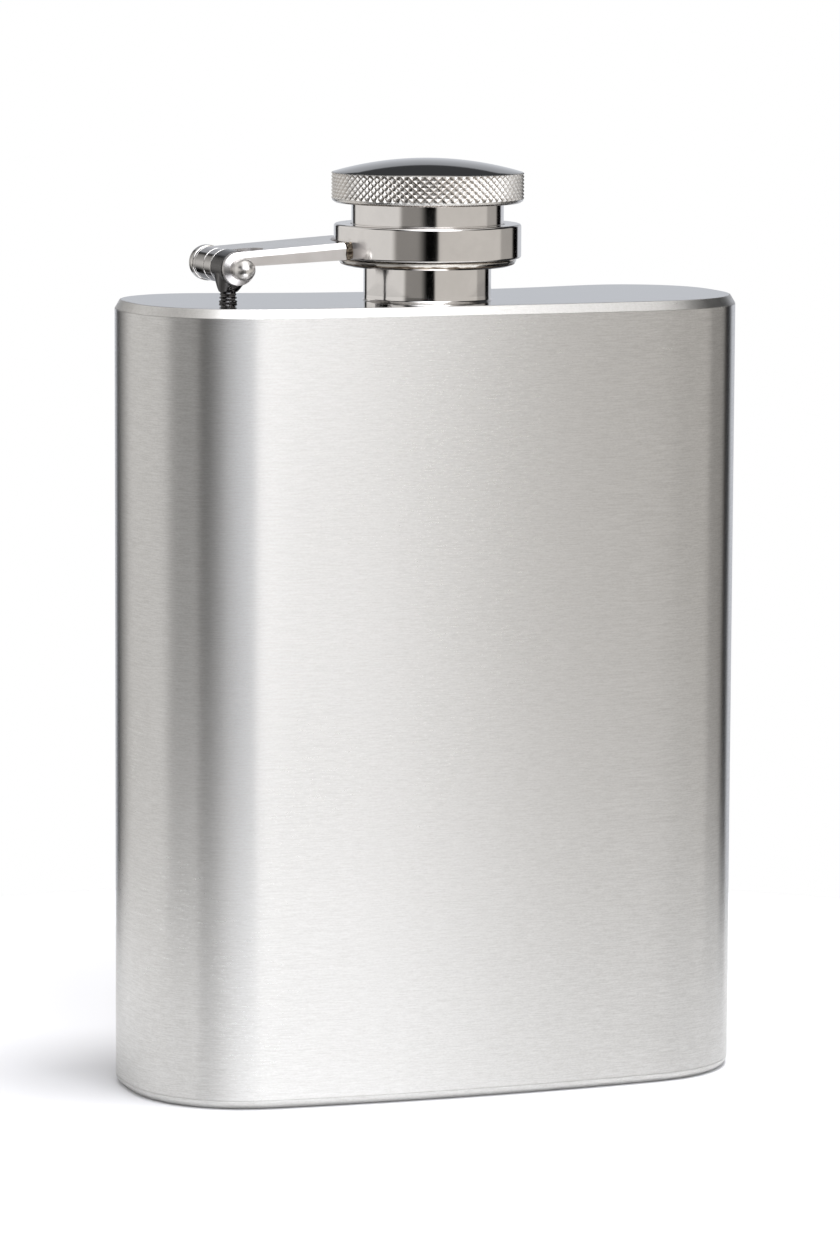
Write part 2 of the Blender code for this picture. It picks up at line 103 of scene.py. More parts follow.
# Round parts
NECK_RADIUS = 0.00698
NECK_BORE = 0.0060
THREAD_ROOT = NECK_RADIUS - 0.0003
FLANGE_RADIUS = half_width("neck_tube")
THREAD_PITCH = 0.0010
THREAD_TURNS = 2
THREAD_HALF = 0.00036
COLLAR_RADIUS = half_width("collar")
COLLAR_CHAMBER = 0.00945
RETAINER_RADIUS = half_width("collar_retainer")
RETAINER_BORE = 0.0076
SLEEVE_RADIUS = 0.00832
SLEEVE_BORE = 0.00755
SLEEVE_ROOT = SLEEVE_BORE + 0.0002
SLEEVE_FLANGE = half_width("cap_sleeve")
HEAD_RADIUS = half_width("cap_head")
KNURL_DIAMONDS = 71
KNURL_DEPTH = 0.00030

# Hinge, with places along Y from the middle of the post's eye
EYE_RADIUS = 0.0019
EYE_WIDTH = 0.0037
KNUCKLE_RADIUS = 0.0018
PIN_RADIUS = 0.0008
STEM_RADIUS = 0.00092
STEM_X = -0.00035
STEM_Y = 0.0004
STEM_RINGS = [                # each is a share of the stem's radius, and a height over the stem's foot
    (1.05, 0.00004), (1.09, 0.00014), (1.05, 0.00024), (0.86, 0.00030), (0.86, 0.00042), (1.02, 0.00048),
    (1.04, 0.00060), (0.88, 0.00068), (0.88, 0.00080), (0.98, 0.00086), (0.98, 0.00096), (0.90, 0.00102),
]
ARM_FRONT = arm_low.y - PIN.y
ARM_BACK = arm_high.y - PIN.y
ARM_TOP_SLOPE = 0.0695
ARM_BOTTOM_SLOPE = 0.0450
ARM_BOTTOM = 0.0003
ARM_CHAMFER = 0.00064
ARM_CHAMFER_DEPTH = 0.00036
ARM_BACK_EDGE = 0.00012


# ---------------------------------------------------------------- mesh helpers

SMOOTH_ANGLE = 32.0


def link(name, bm, smooth_angle=SMOOTH_ANGLE):
    """Turn a bmesh into a linked object that is smooth except across sharp edges."""
    bmesh.ops.recalc_face_normals(bm, faces=bm.faces)
    mesh = bpy.data.meshes.new(name)
    bm.to_mesh(mesh)
    bm.free()
    mesh.shade_smooth()
    mesh.set_sharp_from_angle(angle=math.radians(smooth_angle))
    obj = bpy.data.objects.new(name, mesh)
    bpy.context.scene.collection.objects.link(obj)
    return obj


def bridge(bm, first, second):
    """Join two loops of equally many vertices with quads."""
    for i in range(len(first)):
        j = (i + 1) % len(first)
        bm.faces.new((first[i], first[j], second[j], second[i]))


def skin(bm, loops):
    """A closed skin over a row of loops, with a face across each end."""
    for first, second in zip(loops, loops[1:]):
        bridge(bm, first, second)
    bm.faces.new(loops[0])
    bm.faces.new(loops[-1])


def round_neck(radius, turn, z):
    """A place at a radius and an angle about the neck's upright axis."""
    return NECK.x + radius * math.cos(turn), NECK.y + radius * math.sin(turn), z


def arc(centre, radius, start, end, count):
    """Points along an arc, both ends included; angles are from +X."""
    step = (end - start) / (count - 1)
    return [(centre[0] + radius * math.cos(start + i * step),
             centre[1] + radius * math.sin(start + i * step)) for i in range(count)]


def rounded(corners, steps=4, closed=False):
    """A profile from (x, y, radius) corners, each rounded by its own radius."""
    count = len(corners)
    points = []
    for i, (x, y, radius) in enumerate(corners):
        at_end = not closed and i in (0, count - 1)
        if at_end or radius == 0:
            points.append((x, y))
            continue
        corner = Vector((x, y))
        before = (Vector(corners[i - 1][:2]) - corner).normalized()
        after = (Vector(corners[(i + 1) % count][:2]) - corner).normalized()
        half = before.angle(after) / 2
        centre = corner + (before + after).normalized() * radius / math.sin(half)
        first = corner + before * radius / math.tan(half) - centre
        last = corner + after * radius / math.tan(half) - centre
        for step in range(steps + 1):
            spoke = first.slerp(last, step / steps).normalized() * radius
            points.append(tuple(centre + spoke))
    return points


def hold_edges(profile, closed=False, gap=0.00003):
    """Add points just inside a profile's long straight stretches, so that their shading stays flat."""
    held = []
    for i, point in enumerate(profile):
        held.append(point)
        if i == len(profile) - 1 and not closed:
            break
        start, end = Vector(point), Vector(profile[(i + 1) % len(profile)])
        length = (end - start).length
        if length > 4 * gap:
            held += [tuple(start.lerp(end, gap / length)), tuple(end.lerp(start, gap / length))]
    return held


def lathe_mesh(bm, profile, centre, steps=128, closed=False):
    """Turn a profile of (radius, z) points about the upright axis through `centre`."""
    profile = hold_edges(profile, closed)
    rings = []
    for radius, z in profile:
        if radius < 1e-7:
            rings.append([bm.verts.new((centre.x, centre.y, z))])
            continue
        rings.append([bm.verts.new((centre.x + radius * math.cos(math.tau * i / steps),
                                    centre.y + radius * math.sin(math.tau * i / steps), z))
                      for i in range(steps)])
    pairs = list(zip(rings, rings[1:]))
    if closed:
        pairs.append((rings[-1], rings[0]))
    for upper, lower in pairs:
        for i in range(steps):
            j = (i + 1) % steps
            quad = [upper[i % len(upper)], upper[j % len(upper)],
                    lower[j % len(lower)], lower[i % len(lower)]]
            face = list(dict.fromkeys(quad))
            if len(face) > 2:
                bm.faces.new(face)


def lathe(name, profile, centre, steps=128, closed=False):
    """A turned object."""
    bm = bmesh.new()
    lathe_mesh(bm, profile, centre, steps, closed)
    return link(name, bm)


def lathe_along_y(name, profile, centre, steps=64, closed=False):
    """A turned object whose axis lies along Y through `centre`; its profile's z runs towards -Y."""
    bm = bmesh.new()
    lathe_mesh(bm, profile, Vector((0, 0, 0)), steps, closed)
    turn = Matrix.Translation(centre) @ Matrix.Rotation(math.pi / 2, 4, "X")
    bmesh.ops.transform(bm, matrix=turn, verts=bm.verts)
    return link(name, bm)


def plan_outline():
    """The can's kidney outline as plain arcs, anticlockwise from the middle of the front."""
    front = (0.0, -CENTRE_DEPTH / 2 + FRONT_RADIUS)
    back = (0.0, CENTRE_DEPTH / 2 + BACK_RADIUS)
    side_x = WIDTH / 2 - FRONT_CORNER
    side = (side_x, front[1] - math.sqrt((FRONT_RADIUS - FRONT_CORNER) ** 2 - side_x ** 2))
    rear_x = WIDTH / 2 - BACK_CORNER
    rear = (rear_x, back[1] - math.sqrt((BACK_RADIUS + BACK_CORNER) ** 2 - rear_x ** 2))
    turn_front = math.atan2(side[1] - front[1], side[0])
    turn_rear = math.atan2(back[1] - rear[1], -rear[0])
    turn_back = math.atan2(rear[1] - back[1], rear[0])
    half = arc(front, FRONT_RADIUS, -math.pi / 2, turn_front, 40)
    half += arc(side, FRONT_CORNER, turn_front, 0.0, 48)[1:]
    half += arc(rear, BACK_CORNER, 0.0, turn_rear, 48)
    half += arc(back, BACK_RADIUS, turn_back, -math.pi / 2, 32)[1:]
    middle = (rear[1] + BACK_CORNER - CENTRE_DEPTH / 2) / 2
    half = [(x, y - middle) for x, y in half]
    return half + [(-x, y) for x, y in reversed(half[1:-1])]


def even_points(points, count):
    """A closed outline, walked again in equal steps."""
    ends = [Vector(point) for point in points]
    lengths = [(ends[(i + 1) % len(ends)] - ends[i]).length for i in range(len(ends))]
    pace = sum(lengths) / count
    walked, at, i = 0.0, [], 0
    for k in range(count):
        while walked + lengths[i] < k * pace:
            walked += lengths[i]
            i += 1
        at.append(ends[i].lerp(ends[(i + 1) % len(ends)], (k * pace - walked) / lengths[i]))
    return at, pace


def relaxed_outline():
    """The outline with its curvature eased from arc to arc, as sheet bends, and fitted to its box."""
    points, pace = even_points(plan_outline(), OUTLINE_STEPS)
    reach = int(3 * EASE / pace)
    weights = {k: math.exp(-0.5 * (k * pace / EASE) ** 2) for k in range(-reach, reach + 1)}
    total = sum(weights.values())
    eased = []
    for i in range(OUTLINE_STEPS):
        place = Vector((0, 0))
        for k, weight in weights.items():
            place += points[(i + k) % OUTLINE_STEPS] * weight
        eased.append(place / total)
    spans = [(min(p[axis] for p in eased), max(p[axis] for p in eased)) for axis in (0, 1)]
    fitted = []
    for point in eased:
        place = []
        for axis, (low, high) in enumerate(spans):
            share = (point[axis] - low) / (high - low)
            place.append(wall_low[axis] + share * (wall_high[axis] - wall_low[axis]))
        fitted.append(Vector(place))
    return fitted


OUTLINE = relaxed_outline()


def body_outline(inset=0.0):
    """The can's outline, moved in by `inset` along its own normals."""
    moved = []
    for i, point in enumerate(OUTLINE):
        along = (OUTLINE[(i + 1) % OUTLINE_STEPS] - OUTLINE[i - 1]).normalized()
        moved.append(point + Vector((-along.y, along.x)) * inset)
    return moved


def stack(name, levels, ring=False):
    """A can-shaped solid from (z, inset) levels; a ring joins its last level to its first."""
    bm = bmesh.new()
    levels = hold_edges(levels, ring)
    loops = [[bm.verts.new((x, y, z)) for x, y in body_outline(inset)] for z, inset in levels]
    pairs = list(zip(loops, loops[1:]))
    if ring:
        pairs.append((loops[-1], loops[0]))
    else:
        bm.faces.new(loops[0])
        bm.faces.new(loops[-1])
    for lower, upper in pairs:
        bridge(bm, lower, upper)
    return link(name, bm)


def cutting_cylinder(radius, length, centre, axis="Z", steps=96):
    """A cylinder that is only used to cut another piece."""
    bm = bmesh.new()
    bmesh.ops.create_cone(bm, cap_ends=True, segments=steps, radius1=radius, radius2=radius, depth=length)
    if axis == "Y":
        bmesh.ops.rotate(bm, matrix=Matrix.Rotation(math.pi / 2, 3, "X"), verts=bm.verts)
    bmesh.ops.translate(bm, vec=centre, verts=bm.verts)
    return link("cutter", bm)


def cutting_block(low, high):
    """A box that is only used to cut another piece."""
    bm = bmesh.new()
    bmesh.ops.create_cube(bm, size=1.0)
    bmesh.ops.scale(bm, vec=Vector(high) - Vector(low), verts=bm.verts)
    bmesh.ops.translate(bm, vec=(Vector(high) + Vector(low)) / 2, verts=bm.verts)
    return link("cutter", bm)


def apply_modifiers(obj):
    """Bake an object's modifiers into its mesh."""
    graph = bpy.context.evaluated_depsgraph_get()
    mesh = bpy.data.meshes.new_from_object(obj.evaluated_get(graph), preserve_all_data_layers=True,
                                           depsgraph=graph)
    obj.modifiers.clear()
    obj.data = mesh


def combine(obj, other, operation="DIFFERENCE"):
    """Apply an exact Boolean with another object and delete that object."""
    boolean = obj.modifiers.new("Boolean", "BOOLEAN")
    boolean.operation = operation
    boolean.solver = "EXACT"
    boolean.object = other
    bpy.context.view_layer.update()
    apply_modifiers(obj)
    bpy.data.objects.remove(other)
    obj.data.shade_smooth()
    obj.data.set_sharp_from_angle(angle=math.radians(SMOOTH_ANGLE))


def soften(obj, width, angle):
    """Round an object's sharp edges a little."""
    bevel = obj.modifiers.new("Bevel", "BEVEL")
    bevel.width = width
    bevel.segments = 2
    bevel.limit_method = "ANGLE"
    bevel.angle_limit = math.radians(angle)
    bevel.use_clamp_overlap = True
    flatten = obj.modifiers.new("Flatten", "WEIGHTED_NORMAL")
    flatten.keep_sharp = True
    flatten.weight = 90
    bpy.context.view_layer.update()
    apply_modifiers(obj)


# ---------------------------------------------------------------- materials

class Tree:
    """A node tree, with short calls for the nodes that the materials and the studio share."""

    def __init__(self, tree):
        self.nodes = tree.nodes
        self.links = tree.links

    def math(self, operation, first, second=0.0):
        """A math node on sockets or numbers."""
        node = self.nodes.new("ShaderNodeMath")
        node.operation = operation
        for socket, value in zip(node.inputs, (first, second)):
            if isinstance(value, (int, float)):
                socket.default_value = value
            else:
                self.links.new(value, socket)
        return node.outputs[0]

    def span(self, value, low, high, to_low, to_high, smooth=False):
        """Map a value from one range to another."""
        node = self.nodes.new("ShaderNodeMapRange")
        node.interpolation_type = "SMOOTHSTEP" if smooth else "LINEAR"
        for name, number in zip(("From Min", "From Max", "To Min", "To Max"), (low, high, to_low, to_high)):
            node.inputs[name].default_value = number
        self.links.new(value, node.inputs["Value"])
        return node.outputs["Result"]

    def mix(self, factor, first, second):
        """Mix two colours."""
        node = self.nodes.new("ShaderNodeMix")
        node.data_type = "RGBA"
        self.links.new(factor, node.inputs["Factor"])
        for socket, colour in zip((node.inputs[6], node.inputs[7]), (first, second)):
            if isinstance(colour, tuple):
                socket.default_value = (*colour, 1.0)
            else:
                self.links.new(colour, socket)
        return node.outputs[2]

    def blend(self, *parts):
        """The sum of (value, weight) parts."""
        total = None
        for value, weight in parts:
            part = self.math("MULTIPLY", value, weight)
            total = part if total is None else self.math("ADD", total, part)
        return total

    def split(self, vector):
        """A vector's X, Y and Z."""
        node = self.nodes.new("ShaderNodeSeparateXYZ")
        self.links.new(vector, node.inputs[0])
        return node.outputs["X"], node.outputs["Y"], node.outputs["Z"]


class Shader(Tree):
    """A metal's or another surface's material."""

    def __init__(self, name):
        self.material = bpy.data.materials.new(name)
        self.material.use_nodes = True
        super().__init__(self.material.node_tree)
        self.surface = self.nodes["Principled BSDF"]
        self.place = self.nodes.new("ShaderNodeTexCoord").outputs["Object"]

    def set(self, **values):
        """Set constants on the surface's own sockets."""
        for name, value in values.items():
            self.surface.inputs[name.replace("_", " ")].default_value = value

    def noise(self, scale, detail=2.0, roughness=0.5):
        """Noise stretched by a scale per axis, in cells per metre."""
        mapping = self.nodes.new("ShaderNodeMapping")
        mapping.inputs["Scale"].default_value = scale
        texture = self.nodes.new("ShaderNodeTexNoise")
        texture.inputs["Scale"].default_value = 1.0
        texture.inputs["Detail"].default_value = detail
        texture.inputs["Roughness"].default_value = roughness
        self.links.new(self.place, mapping.inputs["Vector"])
        self.links.new(mapping.outputs["Vector"], texture.inputs["Vector"])
        return texture.outputs["Fac"]

    def bump(self, height, strength, distance):
        """Feed a height into the surface's normal."""
        node = self.nodes.new("ShaderNodeBump")
        node.inputs["Strength"].default_value = strength
        node.inputs["Distance"].default_value = distance
        self.links.new(height, node.inputs["Height"])
        self.links.new(node.outputs["Normal"], self.surface.inputs["Normal"])

    def feed(self, name, value):
        """Link a value into one of the surface's sockets."""
        self.links.new(value, self.surface.inputs[name])

    def tangent_round_z(self):
        """Point the surface's tangent round the upright axis."""
        node = self.nodes.new("ShaderNodeTangent")
        node.direction_type = "RADIAL"
        node.axis = "Z"
        self.links.new(node.outputs["Tangent"], self.surface.inputs["Tangent"])


def brushed_steel(name):
    """Satin steel with fine level scratches that smear reflections up and down."""
    shader = Shader(name)
    shader.set(Metallic=1.0, Anisotropic=0.9, Anisotropic_Rotation=0.25)
    fine = shader.noise((650, 650, 8500), 2.0, 0.6)
    long = shader.noise((150, 150, 5000), 2.0, 0.6)
    grain = shader.noise((3200, 3200, 7500), 2.0, 0.6)
    cloud = shader.noise((30, 30, 18), 2.0, 0.5)
    scratches = shader.blend((fine, 0.48), (long, 0.16), (grain, 0.36))
    tone = shader.span(scratches, 0.38, 0.62, 0, 1)
    shader.feed("Base Color", shader.mix(tone, (0.685, 0.678, 0.668), (0.82, 0.815, 0.81)))
    gloss = shader.span(tone, 0, 1, 0.33, 0.28)
    patches = shader.span(cloud, 0.3, 0.7, -0.012, 0.012)
    shader.feed("Roughness", shader.math("ADD", gloss, patches))
    shader.bump(long, 0.06, 0.00002)
    shader.tangent_round_z()
    return shader.material


def bevel_steel(name):
    """The lid's ground shoulder: bright, with a coarse sparkling grain."""
    shader = Shader(name)
    shader.set(Metallic=1.0)
    grain = shader.noise((2600, 2600, 2600), 3.0, 0.7)
    streak = shader.noise((500, 500, 6000), 2.0, 0.6)
    both = shader.blend((grain, 0.6), (streak, 0.4))
    tone = shader.span(both, 0.35, 0.65, 0, 1)
    shader.feed("Base Color", shader.mix(tone, (0.74, 0.73, 0.71), (0.86, 0.85, 0.84)))
    shader.feed("Roughness", shader.span(both, 0.3, 0.7, 0.42, 0.26))
    shader.bump(both, 0.35, 0.00003)
    return shader.material


def polished_steel(name, colour, roughness, waviness=0.02):
    """Mirror-bright steel with a faint haze and turning marks."""
    shader = Shader(name)
    shader.set(Metallic=1.0)
    haze = shader.noise((350, 350, 350), 3.0, 0.6)
    rings = shader.noise((120, 120, 7000), 2.0, 0.5)
    worn = tuple(channel * 0.94 for channel in colour)
    shader.feed("Base Color", shader.mix(shader.span(haze, 0.35, 0.65, 0, 1), worn, colour))
    shader.feed("Roughness", shader.span(haze, 0.3, 0.7, roughness * 0.8, roughness * 1.3))
    shader.bump(shader.blend((haze, 0.5), (rings, 0.5)), waviness, 0.00003)
    return shader.material


def knurled_steel(name):
    """Bright steel, with painted shade that darkens it down in the knurl's grooves."""
    shader = Shader(name)
    shader.set(Metallic=1.0)
    x, y, _ = shader.split(shader.place)
    across, along = shader.math("SUBTRACT", x, NECK.x), shader.math("SUBTRACT", y, NECK.y)
    radius = shader.math("SQRT", shader.blend((across, across), (along, along)))
    height = shader.span(radius, HEAD_RADIUS - KNURL_DEPTH, HEAD_RADIUS - 0.25 * KNURL_DEPTH, 0, 1, True)
    pits = shader.noise((1800, 1800, 1800), 3.0, 0.6)
    crest_tone = shader.mix(shader.span(pits, 0.35, 0.65, 0, 1), (0.90, 0.885, 0.865), (0.96, 0.95, 0.94))
    # painted shade: the colour falls from the crest tone to a darker brown-grey down in the grooves
    shader.feed("Base Color", shader.mix(height, (0.66, 0.63, 0.60), crest_tone))
    shader.feed("Roughness", shader.span(pits, 0.3, 0.7, 0.20, 0.32))
    shader.bump(pits, 0.12, 0.00003)
    return shader.material


def brown_banded_steel(name):
    """The ring's bright steel, with a ragged dark brown band round its middle."""
    shader = Shader(name)
    shader.set(Metallic=1.0)
    blotch = shader.noise((900, 900, 2500), 4.0, 0.65)
    ragged = shader.span(blotch, 0.3, 0.7, -0.00008, 0.00008)
    level = shader.math("ADD", shader.split(shader.place)[2], ragged)
    low = retainer_low.z
    above = shader.span(level, low + 0.00012, low + 0.00022, 0, 1, True)
    below = shader.span(level, low + 0.00034, low + 0.00044, 1, 0, True)
    # the ragged dark brown band round the ring's lower part
    brown_band = shader.math("MULTIPLY", above, below)
    brown = shader.mix(shader.span(blotch, 0.4, 0.62, 0, 1), (0.16, 0.115, 0.08), (0.60, 0.52, 0.43))
    shader.feed("Base Color", shader.mix(brown_band, (0.86, 0.83, 0.79), brown))
    shader.feed("Roughness", shader.span(brown_band, 0, 1, 0.07, 0.22))
    shader.bump(blotch, 0.2, 0.00004)
    return shader.material


def braze_metal(name):
    """Lumpy brown braze with brighter beads."""
    shader = Shader(name)
    shader.set(Metallic=1.0)
    blotch = shader.noise((2200, 2200, 2200), 4.0, 0.65)
    tone = shader.span(blotch, 0.42, 0.62, 0, 1)
    shader.feed("Base Color", shader.mix(tone, (0.05, 0.035, 0.025), (0.58, 0.49, 0.38)))
    shader.feed("Roughness", shader.span(tone, 0, 1, 0.50, 0.22))
    shader.bump(blotch, 0.6, 0.00010)
    return shader.material


def silicone(name):
    """Soft milky sealing ring."""
    shader = Shader(name)
    shader.set(Roughness=0.55, Subsurface_Weight=0.2)
    dust = shader.noise((900, 900, 900), 3.0, 0.6)
    shader.feed("Base Color", shader.mix(dust, (0.78, 0.78, 0.76), (0.88, 0.88, 0.86)))
    shader.bump(dust, 0.1, 0.00003)
    return shader.material


MATERIALS = {
    "satin_steel": brushed_steel("satin_steel_brushed"),
    "bevel": bevel_steel("ground_bevel"),
    "mirror_lid": polished_steel("mirror_lid", (0.615, 0.615, 0.62), 0.07, 0.006),
    "polished_steel": polished_steel("polished_nickel", (0.91, 0.885, 0.87), 0.10, 0.03),
    "bright_steel": polished_steel("bright_nickel", (0.86, 0.835, 0.81), 0.13, 0.04),
    # painted shade: the strap's sides are a darker nickel than its top; their higher roughness is the ground
    # finish
    "strap": polished_steel("ground_nickel_painted_shade", (0.78, 0.755, 0.75), 0.30, 0.02),
    "dome": polished_steel("dome_mirror", (0.80, 0.79, 0.78), 0.04, 0.01),
    "knurl": knurled_steel("knurled_nickel"),
    "rivet": polished_steel("rivet_nickel", (0.88, 0.86, 0.84), 0.30, 0.02),
    "retainer": brown_banded_steel("brown_banded_nickel"),
    "dark_steel": polished_steel("dark_steel", (0.125, 0.122, 0.122), 0.17, 0.16),
    "braze": braze_metal("braze"),
    "silicone": silicone("silicone"),
}


def dress(obj, body, slot, *nodes, looks=None):
    """Give a piece its body and its materials, and hide the CAD nodes it stands for; the slot picks the
    material when no looks are given.
    """
    obj.data.materials.clear()
    for look in looks or [slot]:
        obj.data.materials.append(MATERIALS[look])
    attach(obj, body)
    if nodes:
        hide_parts(*nodes)
    return obj


# ---------------------------------------------------------------- the can

def make_wall():
    """The wrapped sheet wall, with tiny rolled edges where it meets the plates."""
    low, high = BASE_ROUND + SEAM, lid_low.z - SEAM
    levels = [(low, ROLLED_EDGE), (low + ROLLED_EDGE, 0.0), (high - ROLLED_EDGE, 0.0), (high, ROLLED_EDGE),
              (high, SHEET), (low, SHEET)]
    return dress(stack("body_wall", levels, ring=True), "flask", "satin_steel", "body_shell")


def make_base():
    """The base pan: flat underneath, with a rounded edge."""
    steps = 8
    turns = [math.pi / 2 * i / steps for i in range(steps + 1)]
    levels = [(BASE_ROUND * (1 - math.cos(turn)), BASE_INSET * (1 - math.sin(turn))) for turn in turns]
    levels.append((BASE_ROUND, SHEET))
    return dress(stack("base_pan", levels), "flask", "satin_steel", "bottom_plate")


def make_lid():
    """The lid: a ground shoulder round a mirror-bright flat top, open under the neck."""
    shoulder = [(lid_low.z, SHEET), (lid_low.z, ROLLED_EDGE), (lid_low.z + ROLLED_EDGE, 0.0)]
    brow = [(TOP - 0.00010, TOP_INSET - 0.00008), (TOP - 0.00003, TOP_INSET - 0.00003),
            (TOP, TOP_INSET + 0.00005), (TOP, TOP_INSET + 0.0005)]
    lid = stack("lid", shoulder + brow)
    mouth = NECK_BORE + 0.0003
    combine(lid, cutting_cylinder(mouth, 0.01, (NECK.x, NECK.y, TOP)))
    dress(lid, "flask", "bright_steel", "top_plate", looks=["mirror_lid", "bevel"])
    for polygon in lid.data.polygons:
        polygon.material_index = 0 if polygon.normal.z > 0.97 else 1
    return lid


def make_neck():
    """The spout: a polished tube with a flange under the lid, a small fillet at its foot and a rolled rim."""
    thread_low = neck_high.z - 0.0028
    under_lid = lid_low.z - 0.0002
    flange = [(NECK_BORE, neck_low.z, 0), (FLANGE_RADIUS, neck_low.z, 0.0002),
              (FLANGE_RADIUS, under_lid, 0.0002), (NECK_RADIUS, under_lid, 0)]
    fillet = [(NECK_RADIUS, TOP - 0.0001, 0), (NECK_RADIUS + 0.00014, TOP, 0),
              (NECK_RADIUS + 0.00012, TOP + 0.00004, 0), (NECK_RADIUS + 0.00003, TOP + 0.00014, 0.0003),
              (NECK_RADIUS, TOP + 0.0006, 0.001)]
    mouth = [(NECK_RADIUS, thread_low - 0.0003, 0.0001), (THREAD_ROOT, thread_low, 0.0001),
             (THREAD_ROOT, neck_high.z, 0.0003), (NECK_BORE, neck_high.z, 0.0003)]
    neck = lathe("neck", rounded(flange + fillet + mouth, 5, closed=True), NECK, closed=True)
    return dress(neck, "flask", "polished_steel", "neck_tube")


def helix(name, radius, crest, low):
    """A thread's rib, wound about the neck's axis and sunk a little into its wall; it fades at its ends."""
    bm = bmesh.new()
    steps, fading = 72, 10
    count = THREAD_TURNS * steps
    sink = 0.00006 if crest > radius else -0.00006
    flat = THREAD_HALF * 0.2
    rows = []
    for i in range(count + 1):
        turn = math.tau * i / steps
        fade = min(1.0, i / fading, (count - i) / fading)
        z = low + THREAD_PITCH * i / steps
        tip = radius + (crest - radius) * fade
        section = [(radius - sink, z - THREAD_HALF), (tip, z - flat), (tip, z + flat),
                   (radius - sink, z + THREAD_HALF)]
        rows.append([bm.verts.new(round_neck(r, turn, h)) for r, h in section])
    skin(bm, rows)
    return link(name, bm)


def make_neck_thread():
    """The helical thread on the spout's mouth."""
    low = neck_high.z - 0.0005 - THREAD_TURNS * THREAD_PITCH
    thread = helix("neck_thread", THREAD_ROOT, NECK_RADIUS - 0.00003, low)
    return dress(thread, "flask", "polished_steel")


# ---------------------------------------------------------------- the hinge

def make_post():
    """The dark post: a ringed stem that flares into the eye, squarer as it widens."""
    bm = bmesh.new()
    tail_radius = 0.0017
    foot = TOP + 0.00002
    flare_low, flare_height = PIN.z - 0.0027, 0.00225
    widths = [(tail_radius, post_low.z), (tail_radius, lid_low.z - 0.0004), (STEM_RADIUS, lid_low.z - 0.0003),
              (STEM_RADIUS, foot)]
    widths += [(STEM_RADIUS * share, foot + rise) for share, rise in STEM_RINGS]
    widths.append((STEM_RADIUS * 0.92, flare_low))
    sections = [(radius, radius, 0.0, z) for radius, z in widths]
    steps = 20
    for i in range(1, steps + 1):
        part = i / steps
        swell = part ** 0.72
        wide = STEM_RADIUS + (EYE_RADIUS - 0.00006 - STEM_RADIUS) * swell
        deep = STEM_RADIUS + (EYE_WIDTH / 2 - 0.00003 - STEM_RADIUS) * swell
        sections.append((wide, deep, part, flare_low + flare_height * part))
    loops = []
    sides = 72
    for wide, deep, squareness, z in sections:
        x, y = PIN.x + STEM_X * (1 - squareness), PIN.y + STEM_Y * (1 - squareness)
        power = 2 / (2 + 2.5 * squareness)
        loop = []
        for k in range(sides):
            cosine, sine = math.cos(math.tau * k / sides), math.sin(math.tau * k / sides)
            loop.append(bm.verts.new((x + wide * math.copysign(abs(cosine) ** power, cosine),
                                      y + deep * math.copysign(abs(sine) ** power, sine), z)))
        loops.append(loop)
    skin(bm, loops)
    post = link("hinge_post_turned", bm)
    half = EYE_WIDTH / 2
    eye = [(0.0, half, 0), (EYE_RADIUS, half, 0.00014), (EYE_RADIUS, -half, 0.00014), (0.0, -half, 0)]
    combine(post, lathe_along_y("eye", rounded(eye, 4), PIN, 96), "UNION")
    combine(post, cutting_cylinder(PIN_RADIUS + 0.00008, 0.02, PIN, "Y", 48))
    return dress(post, "flask", "dark_steel", "hinge_post")


def arm_section(inset=0.0):
    """The arm from the front: a strap that runs into a round knuckle, moved in except underneath."""
    reach = NECK.x - COLLAR_RADIUS * 0.8 - PIN.x
    top_turn = math.pi / 2 + math.atan(ARM_TOP_SLOPE)
    radius = KNUCKLE_RADIUS - inset
    low_z = ARM_BOTTOM - ARM_BOTTOM_SLOPE * inset
    points = arc((0.0, 0.0), radius, top_turn, math.tau + math.asin(low_z / radius), 100)
    low_start, top_start = points[-1], points[0]
    points.append((reach, low_start[1] + ARM_BOTTOM_SLOPE * (reach - low_start[0])))
    points.append((reach, top_start[1] + ARM_TOP_SLOPE * (reach - top_start[0])))
    return points


def make_arm():
    """The strap: polished on top, its front and sides ground and painted a shade darker, a broad chamfer
    round its front, a slot for the eye, and two knuckles.
    """
    bm = bmesh.new()
    levels = [(ARM_FRONT, ARM_CHAMFER), (ARM_FRONT + ARM_CHAMFER_DEPTH, 0.0),
              (ARM_BACK - ARM_BACK_EDGE, 0.0), (ARM_BACK, ARM_BACK_EDGE)]
    loops = []
    for y, inset in levels:
        loops.append([bm.verts.new((PIN.x + x, PIN.y + y, PIN.z + z)) for x, z in arm_section(inset)])
    skin(bm, loops)
    arm = link("hinge_arm_strap", bm, 20)
    clear = 0.004                                   # past the arm's edges on every side
    slot_half = EYE_WIDTH / 2 + 0.00008
    slot_square, slot_nose = EYE_RADIUS + 0.0003, 0.0012
    slot_low = (PIN.x - clear, PIN.y - slot_half, PIN.z - clear)
    slot_high = (PIN.x + slot_square, PIN.y + slot_half, PIN.z + clear)
    combine(arm, cutting_block(slot_low, slot_high))
    bm = bmesh.new()
    bmesh.ops.create_cone(bm, cap_ends=True, segments=64, depth=2 * clear, radius1=slot_half,
                          radius2=slot_half)
    bmesh.ops.scale(bm, vec=(slot_nose / slot_half, 0.999, 1.0), verts=bm.verts)
    bmesh.ops.translate(bm, vec=(PIN.x + slot_square - 0.00002, PIN.y, PIN.z), verts=bm.verts)
    combine(arm, link("cutter", bm))
    combine(arm, cutting_cylinder(PIN_RADIUS + 0.00004, 0.03, PIN, "Y", 48))
    combine(arm, cutting_cylinder(COLLAR_RADIUS + 0.0004, 0.02, (NECK.x, NECK.y, PIN.z), steps=192))
    soften(arm, 0.00005, 24)
    dress(arm, "arm", "bright_steel", "hinge_arm", looks=["strap", "bright_steel"])
    # painted shade: faces that point up take the bright nickel, all others the darker ground nickel
    for polygon in arm.data.polygons:
        polygon.material_index = 1 if polygon.normal.z > 0.9 else 0
    return arm


